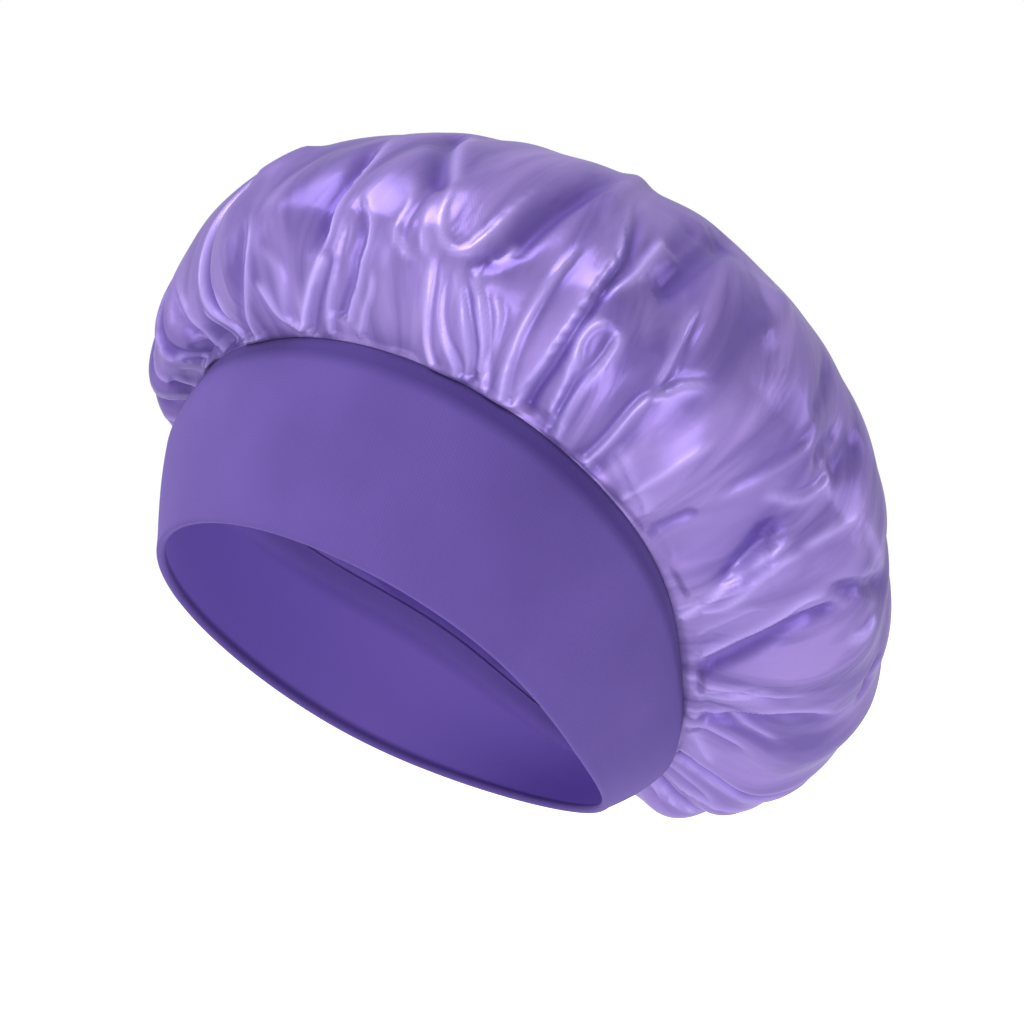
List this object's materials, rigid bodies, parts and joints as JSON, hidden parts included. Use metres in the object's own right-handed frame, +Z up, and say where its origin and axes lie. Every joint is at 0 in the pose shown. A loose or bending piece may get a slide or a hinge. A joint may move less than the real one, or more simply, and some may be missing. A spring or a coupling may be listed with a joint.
{
  "type": "silk bonnet",
  "caption": "Loose puffed bonnet for wearing over hair: a gathered satin crown on a wide stretch-knit band, held open as a head holds it.",
  "frame": {"origin": "middle of the opening at the rim of the band, where the head goes in", "axes": "+Z up as the head is held upright, -Y where the face looks, +X the wearer's left; the bonnet leans back by 35 degrees in this frame"},
  "size_m": [0.2787, 0.2578, 0.238],
  "materials": {
    "satin": "smooth lilac satin with a soft gloss along its folds",
    "knit_band": "matt violet stretch knit with fine ribs"
  },
  "bodies": {
    "root": {"crown": "satin", "band": "knit_band"}
  },
  "joints": []
}
